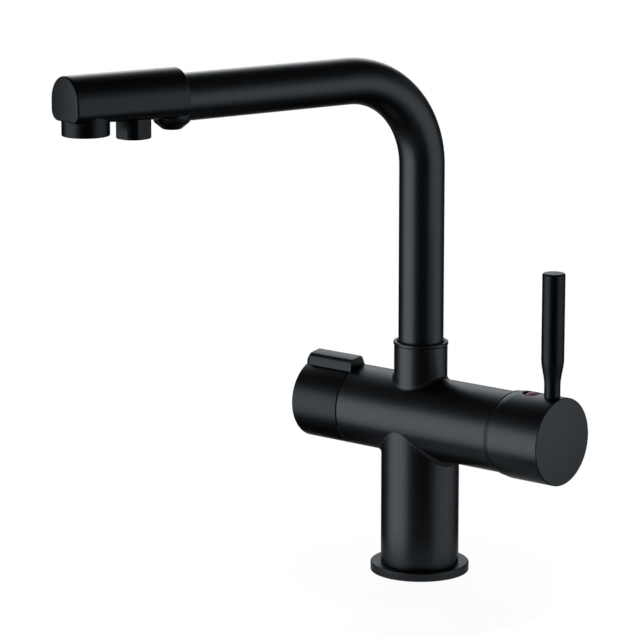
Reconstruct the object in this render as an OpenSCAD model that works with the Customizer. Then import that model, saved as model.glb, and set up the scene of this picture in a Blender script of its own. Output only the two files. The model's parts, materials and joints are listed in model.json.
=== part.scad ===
// Three-way kitchen tap: mixed water and filtered drinking water from one swivel spout.
// The origin is the middle of the column's foot on the worktop, +Z is up, the user stands at -Y.
// The mixer is at +X and the filter knob at -X, both on the axis of the cross barrel.

/* [Base and column] */
// Diameter of the base ring
base_d = 55; // [50:0.5:64]
// Height of the base ring
base_h = 5; // [4:0.5:8]
// Diameter of the column's foot inside the base ring
foot_d = 38; // [36:0.5:40]
// Width of the base seal
seal_w = 3.4; // [2.5:0.1:3.8]
// Height of the base seal
seal_h = 2.5; // [1.5:0.1:3]
// Diameter of the column
column_d = 43.4; // [42:0.2:44]
// Fillet between column and barrel
column_fillet = 4; // [2:0.5:5]

/* [Cross barrel] */
// Height of the barrel axis above the worktop
barrel_z = 88.2; // [80:0.2:110]
// Diameter of the barrel
barrel_d = 45; // [44.8:0.2:47]
// Length of the barrel from the column axis to the filter knob
barrel_left = 42; // [40:0.5:50]
// Diameter of the neck that carries the spout
neck_d = 29.6; // [29:0.2:32]
// Height of the neck's top above the barrel axis
neck_h = 40; // [36:0.5:46]
// Fillet between neck and barrel
neck_fillet = 3; // [1.5:0.5:4]

/* [Water ways] */
// Radius of an inlet thread
inlet_r = 5; // [4:0.1:5.2]
// Depth of an inlet thread
inlet_depth = 12; // [10:1:20]
// Radius of a water way
way_r = 3; // [2.5:0.1:3.2]
// Distance of the hot and cold inlets from the column axis towards the mixer
mixed_inlet_x = 9.5; // [9:0.1:10.5]
// Distance of the hot and cold inlets to either side of the barrel axis
mixed_inlet_y = 7.5; // [7.2:0.1:8]
// Distance of the filtered inlet from the column axis towards the knob
filter_inlet_x = 10; // [9:0.5:12]
// Radius of a mounting stud's thread
stud_r = 4; // [3:0.5:4]
// Depth of a mounting stud's thread
stud_depth = 15; // [12:1:25]
// Distance between the two mounting studs
stud_spacing = 26; // [25:0.5:28]

/* [Spout] */
// Outside diameter of the spout tube
spout_d = 25; // [24:0.2:25.4]
// Wall of the spout tube
spout_wall = 1.2; // [1:0.1:1.5]
// Height of the spout arm's axis above the worktop
spout_z = 278.7; // [250:0.5:330]
// Bend radius of the spout tube, to its axis
spout_bend = 50; // [40:1:60]
// Distance from the column axis to the aerator
spout_reach = 213.5; // [200:0.5:250]
// Swivel of the spout from straight ahead
spout_swivel = -15; // [-180:1:180]
// Height of the slide ring under the spout
slide_ring_h = 2.6; // [2:0.1:4]
// Outside diameter of the slide ring
slide_ring_d = 30.4; // [29:0.2:32]
// Length of the spigot inside the spout tube
spigot_in_tube = 20; // [15:1:30]
// Diameter of the filtered-water tube inside the spout
filter_tube_d = 6.4; // [6:0.1:7]
// Wall of the filtered-water tube
filter_tube_wall = 1.1; // [0.8:0.1:1.3]

/* [Spout head] */
// Length of the head
head_l = 68; // [64:0.5:80]
// Length of the head in front of the aerator
head_nose = 0.2; // [0.2:0.1:6]
// Half of the head's width at its rear
head_rear_r = 13.5; // [13.4:0.1:15]
// Half of the head's width at its front
head_front_r = 13.2; // [13:0.1:14]
// Height of the round top's middle above the arm's axis, at the rear
head_rear_rise = 2.5; // [2:0.1:4]
// Height of the round top's middle above the arm's axis, at the front
head_front_rise = 3.2; // [2.5:0.1:4.5]
// Depth of the head's underside below the arm's axis, at the rear
head_rear_drop = 9.8; // [9.4:0.1:11]
// Depth of the head's underside below the arm's axis, at the front
head_front_drop = 6.9; // [6.4:0.1:8]
// Radius of the head's lower edges
head_edge = 6; // [4:0.5:6.5]
// Depth that the spout tube is pushed into the head
head_socket = 6.5; // [5:0.5:7]
// Radius of the round boss under the head's rear
boss_r = 11.6; // [11.4:0.1:12.4]
// Depth of the boss below the arm's axis
boss_drop = 15.5; // [14.6:0.1:16.5]
// Distance from the head's rear to the middle of the boss
boss_at = 3.5; // [2.5:0.5:4]
// Diameter of the aerator housing
aerator_d = 24.8; // [24:0.2:26]
// Height of the aerator housing below the head
aerator_h = 8; // [5:0.5:12]
// Depth that the aerator housing is let into the head
aerator_sink = 3; // [2:0.1:3.5]
// Distance from the aerator to the filter outlet
outlet_pitch = 28.6; // [27:0.2:32]
// Diameter of the filter outlet nozzle
nozzle_d = 18.2; // [16:0.2:20]
// Height of the filter outlet nozzle below the head
nozzle_h = 10.5; // [6:0.5:12]
// Depth that the nozzle is let into the head
nozzle_sink = 0.8; // [0.5:0.1:1]

/* [Filter knob] */
// Length of the knob
knob_l = 33; // [31:0.5:40]
// Diameter of the knob
knob_d = 45; // [44:0.2:47]
// Wall of the knob's shell
knob_wall = 3; // [2:0.5:4]
// Width of the knob's rib
rib_w = 8.5; // [5:0.5:12]
// Height of the rib above the knob
rib_h = 5.2; // [3:0.2:8]
// Flare of the rib's foot to each side
rib_flare = 2; // [0:0.2:3]
// Turn of the closed knob towards the user
knob_turn = 9; // [-30:1:30]
// Radius of the filter valve's thread
valve_r = 10.9; // [10.5:0.1:11.5]
// Radius of the filter valve's spindle
spindle_r = 4.5; // [4.2:0.1:5]
// Side of the spindle's square end
spindle_square = 6; // [5:0.1:6.2]
// Thickness of a filter valve disc
valve_disc_t = 3; // [2.5:0.1:3.5]

/* [Mixer handle] */
// Distance from the column axis to the pivot that the lever tilts on
pivot_x = 61; // [58:0.5:70]
// Diameter of the mixer cap
cap_d = 48.2; // [47.6:0.2:50]
// Distance from the pivot to the cap's end face
cap_l = 36; // [34:0.5:42]
// Slope of the cap's lower rim away from the barrel, at least half of the tilt
rim_slope = 10; // [8:0.1:12]
// Slope of the cap's upper rim away from the barrel
rim_rise = 6; // [3:0.5:8]
// Distance from the pivot to the lever
lever_x = 28.8; // [28:0.2:29.6]
// Diameter of the lever
lever_d = 12.2; // [10:0.2:14]
// Diameter of the lever's foot
lever_foot_d = 8.8; // [8:0.2:9.6]
// Height of the lever's top above the barrel axis
lever_h = 91.3; // [70:0.5:120]
// Distance from the pivot to the indicator
indicator_x = 15.5; // [15:0.5:17]
// Radius of the indicator
indicator_r = 3; // [2.8:0.1:3.4]
// Side of the cartridge's square stem
stem_w = 8; // [7:0.2:8.4]

/* [Mixer cartridge] */
// Diameter of the cartridge
cartridge_d = 35; // [34.6:0.2:35.6]
// Wall of the cartridge housing
cartridge_wall = 2.5; // [2:0.1:2.8]
// Distance from the pivot to the stem's ball
stem_arm = 12; // [11:0.5:12.5]
// Radius of the stem's ball
ball_r = 3; // [2.8:0.1:3.2]
// Radius of the pivot pin
pin_r = 1.5; // [1.2:0.1:2]
// Thickness of a mixer disc
mixer_disc_t = 4; // [3:0.2:4.4]
// Height of the cartridge base
cartridge_base_h = 6; // [5:0.2:7]
// Radius of the rotor's neck
rotor_r = 10; // [9.8:0.1:10.4]

/* [Clearances] */
// Gap between fitted pieces that don't turn
seat_gap = 0.05; // [0.02:0.01:0.1]
// Gap between a shaft and its hole
running_gap = 0.1; // [0.05:0.01:0.15]
// Gap between faces that pass each other
passing_gap = 0.3; // [0.2:0.05:0.5]

/* [Hidden] */
$fn = 96;

column_r = column_d / 2;
barrel_r = barrel_d / 2;
neck_r = neck_d / 2;
neck_top = barrel_z + neck_h;
edge = 0.6;
fine_edge = 0.3;
cut = 1;
nick = 0.01;
seal_slack = 0.2;
seal_mid_r = (foot_d + base_d) / 4;
base_top_edge = 0.9;

// Hexagon sockets of the grub screws
key_r = 1.4;
small_key_r = 1.1;
key_depth = 2;

// Neck socket and spout foot, as heights above the worktop
spout_r = spout_d / 2;
socket_step = 0.9;
socket_r = spout_r - socket_step;
socket_depth = 22;
socket_floor = neck_top - socket_depth;
ring_flange = 0.9;
tube_foot = neck_top + ring_flange + running_gap;
tube_bore_r = spout_r - spout_wall;
spigot_r = socket_r - running_gap;
spigot_bore_r = 8;
spigot_lift = 1;
spigot_foot = socket_floor + spigot_lift;
o_ring_r = 1;
o_ring_low = 3.2;
o_ring_pitch = 5;
groove_w = 2 * (o_ring_r + seal_slack);
o_ring_heights = [spigot_foot + o_ring_low, spigot_foot + o_ring_low + o_ring_pitch];
lock_groove_r = 10;
lock_groove_w = 4;
lock_drop = 4.4;
lock_z = neck_top - lock_drop;
lock_screw_r = 2.5;
lock_tip_r = lock_groove_w / 2 - passing_gap;

// Filtered-water nipple in the socket's floor
nipple_r = 4.2;
nipple_bore_r = 2;
nipple_thread_r = 4;
nipple_thread_l = 3;
nipple_flange_r = 5.1;
nipple_flange_h = 2;
nipple_h = 13;
nipple_top = socket_floor + nipple_h;
nipple_seal_r = 0.7;
nipple_seal_drop = 3;
nipple_seal_z = nipple_top - nipple_seal_drop;
coupler_bore_r = nipple_r + running_gap;
coupler_r = 6;
coupler_gap = 0.5;
coupler_foot = socket_floor + nipple_flange_h + coupler_gap;
coupler_grip = 13;
coupler_step = nipple_top + 2 * coupler_gap;
coupler_top = coupler_step + coupler_grip;
filter_tube_r = filter_tube_d / 2;

// Water ways inside the casting
filter_way_z = 14;
filter_way_r = 2.3;
mixed_way_x = 8.4;
mixed_way_z = -8.5;
mixed_port_z = 7;

// Filter valve, as distances along the barrel to the left of the column axis
valve_depth = 20;
valve_floor = barrel_left - valve_depth;
chamber_r = valve_r + running_gap;
seat_seal_t = 2;
seat_seal_w = 2.5;
valve_disc_r = 8.1;
valve_bore_r = valve_disc_r + passing_gap;
valve_body_wall = 1.2;
valve_body_r = valve_bore_r + valve_body_wall;
fixed_disc_at = valve_floor + seat_seal_t;
moving_disc_at = fixed_disc_at + valve_disc_t;
spindle_flange_at = moving_disc_at + valve_disc_t;
spindle_flange_t = 3.5;
valve_play = 0.5;
valve_shoulder_at = spindle_flange_at + spindle_flange_t + valve_play;
valve_thread_at = valve_shoulder_at + valve_play;
valve_window_r = 1.4;
valve_hex_t = 5;
valve_hex_r = 14.5;
valve_nose_r = 8;
valve_nose_l = 4;
valve_nose_end = barrel_left + valve_hex_t + valve_nose_l;
flange_seal_r = 1;
flange_seat_t = 2 * (flange_seal_r + seat_gap);
flange_seat_r = chamber_r + flange_seat_t;
spindle_seal_r = 0.8;
spindle_seal_pitch = 5;
spindle_seal_last = valve_nose_end - 6;
spindle_seal_at = [spindle_seal_last - spindle_seal_pitch, spindle_seal_last];
clip_t = 0.8;
clip_at = valve_nose_end + running_gap;
clip_groove = 0.9;
clip_groove_r = spindle_r - clip_groove;
clip_w = 2;
clip_r = spindle_r + clip_w;
clip_mouth = 5;
spindle_out = 18;
spindle_end = valve_nose_end + spindle_out;
disc_hole_r = 2;
disc_hole_at = 4.2;
tongue_w = 3;
tongue_t = 1.4;

// Knob
knob_r = knob_d / 2;
knob_face = barrel_left + passing_gap;
knob_end = barrel_left + knob_l;
knob_end_t = 5;
knob_floor = knob_end - knob_end_t;
knob_hub_r = 9;
knob_hub_gap = 2.5;
knob_hub_at = valve_nose_end + knob_hub_gap;
knob_screw_r = 2;
knob_screw_at = (knob_hub_at + spindle_end) / 2;
rib_chamfer = 1;

// Mixer cartridge, as distances along the barrel to the right of the column axis
ball_x = pivot_x - stem_arm;
stem_neck_r = 1.8;
carrier_t = 3;
carrier_block_t = 3;
carrier_floor = 1;
carrier_at = ball_x - carrier_block_t - carrier_floor;
moving_mix_at = carrier_at - mixer_disc_t;
fixed_mix_at = moving_mix_at - mixer_disc_t;
cartridge_base_at = fixed_mix_at - cartridge_base_h;
cartridge_r = cartridge_d / 2;
housing_bore_r = cartridge_r - cartridge_wall;
mix_chamber_r = cartridge_r + passing_gap;
carrier_r = 11;
carrier_block_w = 14;
carrier_block_l = 18;
carrier_top = carrier_at + carrier_t + carrier_block_t;
rail_w = 2.8;
rotor_flange_at = carrier_top + passing_gap;
rotor_flange_t = 4.4;
housing_lip_at = rotor_flange_at + rotor_flange_t + running_gap;
housing_lip_t = 2;
rotor_out = 4.5;
rotor_end = pivot_x + rotor_out;
nut_at = housing_lip_at + housing_lip_t;
nut_out = 4;
nut_end = pivot_x + nut_out;
nut_bore_r = rotor_r + edge;
nut_hex_r = 16.5;
barrel_lip = 3;
barrel_right = pivot_x + barrel_lip;
rotor_slot_l = 16;
mix_port_r = way_r;
mix_pocket_r = 8.5;
mix_pocket_z = -2;
port_seal_t = 1.8;
port_seal_w = 1.5;
mix_ports = [[-mixed_inlet_y, mixed_port_z], [mixed_inlet_y, mixed_port_z], [0, mixed_way_z]];

// Mixer handle
cap_r = cap_d / 2;
cap_bore_r = barrel_r + passing_gap + seat_gap;
cap_rim_r = cap_bore_r + fine_edge;
rim_cone = 0.25;
cap_end = pivot_x + cap_l;
cap_end_edge = 1.2;
hub_out = 10;
hub_at = pivot_x + hub_out;
hub_r = 10;
cap_end_t = 14;
cap_solid_at = cap_end - cap_end_t;
cap_wall = 3.2;
stem_out = 23;
stem_end = pivot_x + stem_out;
handle_screw_r = 2.5;
handle_screw_l = 6;
indicator_t = 2.4;
indicator_dome = 0.8;
indicator_edge = 0.7;
indicator_sink = 2.6;
indicator_dish_w = 1.8;
indicator_dish_r = indicator_r + indicator_dish_w;
indicator_z = cap_r - indicator_sink;
lever_sink = 0.7;
lever_seat = cap_r - lever_sink;
lever_thread_r = 3;
lever_thread_l = 12;
lever_neck_l = 9.5;
lever_taper_l = 10.5;
lever_top_edge = 0.8;

// Spout head, as distances from the column axis along the arm
head_front = spout_reach + aerator_d / 2 + head_nose;
head_rear = head_front - head_l;
head_slope = (head_rear_drop - head_front_drop) / head_l;
head_round = 1;
tube_end = head_rear + head_socket;
head_seal_t = 1.5;
head_chamber_r = 7.5;
boss_s = head_rear + boss_at;
head_screw_r = 2;
head_key_depth = 1.5;

// Outlets under the head
nozzle_at = spout_reach - outlet_pitch;
aerator_thread_wall = 1.6;
aerator_thread_r = aerator_d / 2 - aerator_thread_wall;
aerator_insert_r = aerator_thread_r - aerator_thread_wall;
aerator_thread_l = 7;
washer_t = 1.5;
nozzle_shoulder = 2;
nozzle_thread_r = nozzle_d / 2 - nozzle_shoulder;
nozzle_thread_wall = 1.4;
nozzle_insert_r = nozzle_thread_r - nozzle_thread_wall;
nozzle_thread_l = 4;
pillar_wall = 1.3;
pillar_r = nozzle_thread_r + pillar_wall;
pillar_top = spout_z + filter_tube_r + pillar_wall;
outlet_edge = 0.2;
outlet_lip_t = 1.5;
outlet_lip_w = 1.3;
jet_r = 0.9;
nozzle_flat_depth = 0.95;
nozzle_flat = nozzle_d - 2 * nozzle_flat_depth;
nozzle_flat_turn = 10;
filter_tube_end = nozzle_at - filter_tube_r;

// Height of the head's sloping underside at distance s
function head_under(s) = spout_z - head_front_drop - head_slope * (head_front - s);

// Heights of the level seats that the outlets are screwed up to
aerator_seat = head_under(spout_reach + aerator_d / 2) + aerator_sink;
nozzle_seat = head_under(nozzle_at + nozzle_d / 2) + nozzle_sink;
aerator_body_h = aerator_h + aerator_sink;
nozzle_body_h = nozzle_h + nozzle_sink;

black = [0.06, 0.065, 0.07];
brass = [0.78, 0.62, 0.3];
rubber = [0.1, 0.1, 0.1];
ceramic = [0.92, 0.92, 0.9];
plastic = [0.85, 0.85, 0.82];
steel = [0.7, 0.71, 0.73];

// A bar from z0 to z1 round the Z axis
module bar(r, z0, z1) translate([0, 0, z0]) cylinder(r = r, h = z1 - z0);

// A tube from z0 to z1 round the Z axis
module pipe(r, bore, z0, z1) {
    difference() {
        bar(r, z0, z1);
        bar(bore, z0 - cut, z1 + cut);
    }
}

// A hexagon socket cut down into a screw whose end is at the origin
module key_socket(r, depth) translate([0, 0, -depth]) cylinder(r = r, h = depth + cut, $fn = 6);

// An O-ring of section radius w, whose middle runs at radius r
module o_ring(r, w, z) translate([0, 0, z]) rotate_extrude() translate([r, 0]) circle(w);

// The part of a square corner that lies outside its rounding
module corner_waste(r) {
    difference() {
        translate([-nick, -nick]) square(r + cut);
        circle(r);
    }
}

// Half section of a bar from z0 to z1 with both outer edges rounded
module rounded_section(r, z0, z1, low, high) {
    difference() {
        translate([0, z0]) square([r, z1 - z0]);
        translate([r - high, z1 - high]) corner_waste(high);
        translate([r - low, z0 + low]) mirror([0, 1]) corner_waste(low);
    }
}

// A bar from z0 to z1 with rounded ends
module rounded_bar(r, z0, z1, low, high) rotate_extrude() rounded_section(r, z0, z1, low, high);

// Children's +Z laid along +X on the barrel axis: their heights become places along the barrel
module mixer_side() translate([0, 0, barrel_z]) rotate([0, 90, 0]) children();

// Children's +Z laid along -X on the barrel axis, with their +X kept pointing up
module filter_side() translate([0, 0, barrel_z]) rotate([0, -90, 0]) children();

// Children turned with the filter knob
module knob_turned() filter_side() rotate([0, 0, -knob_turn]) children();

// Children turned with the spout: their -Y is the direction of the arm
module swivelled() rotate([0, 0, spout_swivel]) children();

// Children's origin put on the arm's axis at distance s from the column, +Z along the arm
module on_arm(s) translate([0, -s, spout_z]) rotate([90, 0, 0]) children();

// Ring that fillets an upright bar of radius rv into the barrel; side is 1 above it, -1 below it
module saddle_fillet(rv, f, side) {
    steps = 60;
    arc = 6;
    bite = 0.12;
    depth = 1.5;
    pv = rv + f;
    ph = barrel_r + f;
    function middle(t) = [pv * cos(t), pv * sin(t), side * sqrt(ph * ph - pow(pv * sin(t), 2))];
    function to_bar(t) = [-cos(t), -sin(t), 0];
    function to_barrel(c) = [0, -c[1] / ph, -c[2] / ph];
    function turned(a, b, w, k) = (sin((1 - k) * w) * a + sin(k * w) * b) / sin(w);
    function section(t) =
        let (c = middle(t), a = to_bar(t), b = to_barrel(c), w = acos(a * b))
        concat(
            [c + (f + bite) * a],
            [for (k = [1 : arc - 1]) c + f * turned(a, b, w, k / arc)],
            [c + (f + bite) * b],
            [c + (f + depth) * (a + b)]
        );
    n = arc + 2;
    points = [for (i = [0 : steps - 1]) each section(i * 360 / steps)];
    function at(i, j) = (i % steps) * n + j % n;
    quads = [
        for (i = [0 : steps - 1])
            for (j = [0 : n - 1])
                each [
                    [at(i, j), at(i + 1, j), at(i + 1, j + 1)],
                    [at(i, j), at(i + 1, j + 1), at(i, j + 1)]
                ]
    ];
    faces = side > 0 ? quads : [for (q = quads) [q[2], q[1], q[0]]];
    translate([0, 0, barrel_z]) polyhedron(points, faces);
}

// Body

module casting_solid() {
    bar(foot_d / 2, 0, base_h + cut);
    bar(column_r, base_h, barrel_z);
    bar(neck_r, barrel_z, neck_top);
    translate([-barrel_left, 0, barrel_z]) rotate([0, 90, 0]) {
        cylinder(r = barrel_r, h = barrel_left + barrel_right);
    }
    saddle_fillet(column_r, column_fillet, -1);
    saddle_fillet(neck_r, neck_fillet, 1);
}

module inlets() {
    for (side = [-1, 1]) {
        translate([mixed_inlet_x, side * mixed_inlet_y, 0]) {
            bar(inlet_r, -cut, inlet_depth);
            bar(way_r, 0, barrel_z + mixed_port_z);
        }
        translate([0, side * stud_spacing / 2, 0]) bar(stud_r, -cut, stud_depth);
    }
    translate([-filter_inlet_x, 0, 0]) {
        bar(inlet_r, -cut, inlet_depth);
        bar(way_r, 0, barrel_z);
    }
}

module water_ways() {
    mixer_side() {
        for (side = [-1, 1]) {
            translate([-mixed_port_z, side * mixed_inlet_y, 0]) {
                bar(way_r, mixed_inlet_x, cartridge_base_at + cut);
            }
        }
        translate([-mixed_way_z, 0, 0]) bar(way_r, mixed_way_x, cartridge_base_at + cut);
    }
    translate([mixed_way_x, 0, 0]) bar(way_r, barrel_z + mixed_way_z, socket_floor + cut);
    filter_side() {
        bar(way_r, filter_inlet_x, valve_floor + cut);
        translate([filter_way_z, 0, 0]) bar(filter_way_r, 0, valve_thread_at - filter_way_r);
        translate([0, 0, valve_thread_at - filter_way_r]) rotate([0, 90, 0]) {
            bar(filter_way_r, valve_body_r, filter_way_z + filter_way_r);
        }
    }
    bar(nipple_thread_r, barrel_z + filter_way_z, socket_floor + cut);
}

module body_casting() {
    color(black) difference() {
        casting_solid();
        inlets();
        water_ways();
        bar(socket_r, socket_floor, neck_top + cut);
        mixer_side() bar(mix_chamber_r, cartridge_base_at, barrel_right + cut);
        filter_side() bar(chamber_r, valve_floor, barrel_left + cut);
        filter_side() bar(flange_seat_r, barrel_left - flange_seat_t, barrel_left + cut);
        translate([0, 0, lock_z]) rotate([-90, 0, 0]) bar(lock_screw_r, 0, neck_r + cut);
    }
}

module base_ring() {
    color(black) difference() {
        rounded_bar(base_d / 2, 0, base_h, fine_edge, base_top_edge);
        bar(foot_d / 2 + seat_gap, -cut, base_h + cut);
        base_seal_room();
    }
}

module base_seal_room() pipe(seal_mid_r + seal_w / 2, seal_mid_r - seal_w / 2, -cut, seal_h);

module base_seal() {
    color(rubber) pipe(
        seal_mid_r + seal_w / 2 - seat_gap,
        seal_mid_r - seal_w / 2 + seat_gap,
        0,
        seal_h
    );
}

module slide_ring() {
    color(black) difference() {
        rounded_bar(slide_ring_d / 2, neck_top, neck_top + slide_ring_h, fine_edge, fine_edge);
        bar(socket_r + running_gap, neck_top - cut, neck_top + slide_ring_h + cut);
        bar(spout_r + passing_gap, neck_top + ring_flange, neck_top + slide_ring_h + cut);
    }
}

module spout_retaining_screw() {
    tip = lock_groove_r + passing_gap;
    color(steel) translate([0, 0, lock_z]) rotate([-90, 0, 0]) difference() {
        union() {
            bar(lock_tip_r, tip, socket_r + cut);
            bar(lock_screw_r - seat_gap, socket_r + running_gap, neck_r - edge);
        }
        translate([0, 0, neck_r - edge]) key_socket(key_r, key_depth);
    }
}

module filter_nipple() {
    color(brass) difference() {
        union() {
            bar(nipple_thread_r - seat_gap, socket_floor - nipple_thread_l, socket_floor + cut);
            bar(nipple_flange_r, socket_floor, socket_floor + nipple_flange_h);
            bar(nipple_r, socket_floor, nipple_top);
        }
        bar(nipple_bore_r, socket_floor - nipple_thread_l - cut, nipple_top + cut);
        pipe(
            nipple_r + cut,
            nipple_r - 2 * nipple_seal_r,
            nipple_seal_z - nipple_seal_r - seal_slack,
            nipple_seal_z + nipple_seal_r + seal_slack
        );
    }
}

module filter_nipple_seal() {
    color(rubber) o_ring(nipple_r + seat_gap - nipple_seal_r, nipple_seal_r, nipple_seal_z);
}

// Mixer cartridge

module mixer_port_seals() {
    color(rubber) mixer_side() for (p = mix_ports) {
        translate([-p[1], p[0], 0]) {
            pipe(
                mix_port_r + port_seal_w,
                mix_port_r,
                cartridge_base_at,
                cartridge_base_at + port_seal_t
            );
        }
    }
}

module mix_port_holes(r, z0, z1) for (p = mix_ports) translate([-p[1], p[0], 0]) bar(r, z0, z1);

module mixer_cartridge_base() {
    color(plastic) mixer_side() difference() {
        bar(cartridge_r, cartridge_base_at, fixed_mix_at);
        mix_port_holes(mix_port_r, cartridge_base_at - cut, fixed_mix_at + cut);
        mix_port_holes(mix_port_r + port_seal_w + seat_gap, cartridge_base_at - cut,
            cartridge_base_at + port_seal_t);
    }
}

module mixer_fixed_disc() {
    color(ceramic) mixer_side() difference() {
        bar(housing_bore_r - seat_gap, fixed_mix_at, moving_mix_at);
        mix_port_holes(mix_port_r, fixed_mix_at - cut, moving_mix_at + cut);
    }
}

module mixer_cartridge_housing() {
    color(plastic) mixer_side() difference() {
        bar(cartridge_r, fixed_mix_at, nut_at);
        bar(housing_bore_r, fixed_mix_at - cut, housing_lip_at);
        bar(rotor_r + running_gap, housing_lip_at - cut, nut_at + cut);
    }
}

module mixer_cartridge_nut() {
    color(brass) mixer_side() difference() {
        union() {
            bar(mix_chamber_r - seat_gap, nut_at, barrel_right - edge);
            translate([0, 0, nut_at]) cylinder(r = nut_hex_r, h = nut_end - nut_at, $fn = 6);
        }
        bar(nut_bore_r, nut_at - cut, nut_end + cut);
    }
}

module mixer_rotor() {
    slot_w = stem_w + 4 * running_gap;
    color(plastic) mixer_side() difference() {
        union() {
            bar(housing_bore_r - passing_gap, rotor_flange_at, rotor_flange_at + rotor_flange_t);
            bar(rotor_r, rotor_flange_at, rotor_end);
            for (side = [-1, 1]) {
                translate([0, side * (carrier_block_w / 2 + passing_gap + rail_w / 2), 0]) {
                    translate([-carrier_block_l / 2, -rail_w / 2, carrier_at + carrier_t + passing_gap]) {
                        cube([carrier_block_l, rail_w, carrier_block_t + cut]);
                    }
                }
            }
        }
        translate([-rotor_slot_l / 2, -slot_w / 2, rotor_flange_at - cut]) {
            cube([rotor_slot_l, slot_w, rotor_end - rotor_flange_at + 2 * cut]);
        }
        translate([0, 0, pivot_x]) rotate([90, 0, 0]) bar(pin_r + seat_gap, -rotor_r - cut, rotor_r + cut);
    }
}

module mixer_pivot_pin() {
    color(steel) mixer_side() translate([0, 0, pivot_x]) rotate([90, 0, 0]) {
        bar(pin_r, -rotor_r + edge, rotor_r - edge);
    }
}

module mixer_disc_carrier() {
    color(plastic) mixer_side() difference() {
        union() {
            bar(carrier_r, carrier_at, carrier_at + carrier_t);
            translate([-carrier_block_l / 2, -carrier_block_w / 2, carrier_at + carrier_t - edge]) {
                cube([carrier_block_l, carrier_block_w, carrier_block_t + edge]);
            }
        }
        bar(ball_r + running_gap, ball_x - ball_r - running_gap, carrier_top + cut);
    }
}

module mixer_moving_disc() {
    color(ceramic) mixer_side() difference() {
        bar(carrier_r, moving_mix_at, carrier_at);
        translate([-mix_pocket_z, 0, 0]) {
            bar(mix_pocket_r, moving_mix_at - cut, moving_mix_at + mixer_disc_t / 2);
        }
    }
}

module mixer_stem() {
    color(brass) mixer_side() difference() {
        union() {
            translate([0, 0, ball_x]) sphere(ball_r);
            bar(stem_neck_r, ball_x, pivot_x);
            translate([-stem_w / 2, -stem_w / 2, pivot_x - stem_w / 2]) {
                cube([stem_w, stem_w, stem_end - pivot_x + stem_w / 2]);
            }
        }
        translate([0, 0, pivot_x]) rotate([90, 0, 0]) bar(pin_r + seat_gap, -stem_w, stem_w);
    }
}

// Mixer handle

module cap_outside() {
    difference() {
        intersection() {
            rounded_bar(cap_r, pivot_x - cap_l, cap_end, edge, cap_end_edge);
            translate([0, 0, pivot_x]) rotate([0, -rim_slope, 0]) {
                cylinder(r1 = cap_rim_r, r2 = cap_rim_r + 2 * cap_l * rim_cone, h = 2 * cap_l);
            }
        }
        translate([0, 0, pivot_x + edge]) rotate([0, rim_rise, 0]) {
            translate([-cap_d, -cap_d, -cap_l]) cube([2 * cap_d, 2 * cap_d, cap_l]);
        }
    }
}

module cap_hollow() {
    socket = stem_w / 2 + seat_gap;
    bar(cap_bore_r, pivot_x - cap_l, hub_at);
    difference() {
        bar(cap_r - cap_wall, hub_at - cut, cap_solid_at);
        bar(hub_r, hub_at, cap_solid_at + cut);
        translate([-cap_r, -lever_d / 2, hub_at]) cube([cap_r, lever_d, cap_l]);
    }
    translate([-socket, -socket, hub_at - cut]) cube([2 * socket, 2 * socket, stem_end - hub_at + cut]);
}

// Children's +Z pointing up from the barrel axis at distance x from the pivot
module up_from_cap(x) translate([pivot_x + x, 0, barrel_z]) children();

module mixer_cap() {
    color(black) difference() {
        mixer_side() difference() {
            cap_outside();
            cap_hollow();
        }
        up_from_cap(lever_x) {
            bar(lever_thread_r, lever_seat - lever_thread_l - cut, cap_r);
            bar(lever_foot_d / 2 + seat_gap, lever_seat, cap_r + cut);
        }
        up_from_cap(indicator_x) {
            bar(handle_screw_r, 0, cap_r);
            bar(indicator_r + seat_gap, indicator_z - indicator_t, cap_r + cut);
            translate([0, 0, indicator_z]) {
                cylinder(r1 = indicator_r, r2 = indicator_dish_r, h = indicator_sink + seal_slack);
            }
        }
    }
}

module mixer_lever() {
    thread = lever_thread_r - seat_gap;
    thread_end = lever_seat - lever_thread_l;
    foot = lever_foot_d / 2;
    taper_at = lever_seat + lever_neck_l;
    top = lever_d / 2;
    color(black) up_from_cap(lever_x) rotate_extrude() difference() {
        polygon([
            [0, thread_end], [thread, thread_end], [thread, lever_seat], [foot, lever_seat],
            [foot, taper_at], [top, taper_at + lever_taper_l], [top, lever_h], [0, lever_h]
        ]);
        translate([top - lever_top_edge, lever_h - lever_top_edge]) corner_waste(lever_top_edge);
    }
}

module mixer_handle_screw() {
    low = stem_w / 2;
    color(steel) up_from_cap(indicator_x) difference() {
        bar(handle_screw_r - seat_gap, low, low + handle_screw_l);
        translate([0, 0, low + handle_screw_l]) key_socket(key_r, key_depth);
    }
}

// Half of the domed indicator; side is -1 for the half towards the user
module indicator_half(side) {
    up_from_cap(indicator_x) intersection() {
        rounded_bar(indicator_r, indicator_z - indicator_t, indicator_z + indicator_dome, seat_gap,
            indicator_edge);
        translate([-cap_r, side > 0 ? 0 : -2 * cap_r, 0]) cube(2 * cap_r);
    }
}

module indicator_red() color([0.75, 0.06, 0.08]) indicator_half(-1);

module indicator_blue() color([0.05, 0.2, 0.7]) indicator_half(1);

// Filter valve and knob

module filter_valve_body() {
    color(brass) filter_side() difference() {
        union() {
            bar(valve_body_r, valve_floor + seat_seal_t / 2, valve_thread_at);
            bar(valve_r, valve_thread_at, barrel_left);
            translate([0, 0, barrel_left]) cylinder(r = valve_hex_r, h = valve_hex_t, $fn = 6);
            bar(valve_nose_r, barrel_left, valve_nose_end);
        }
        bar(valve_bore_r, valve_floor, valve_shoulder_at);
        bar(spindle_r + running_gap, valve_floor, valve_nose_end + cut);
        translate([0, 0, spindle_flange_at + valve_window_r]) rotate([0, 90, 0]) {
            bar(valve_window_r, -valve_r, valve_r);
        }
    }
}

module filter_flange_seal() {
    color(rubber) filter_side() {
        o_ring(flange_seat_r - seat_gap - flange_seal_r, flange_seal_r, barrel_left - flange_seat_t / 2);
    }
}

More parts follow.
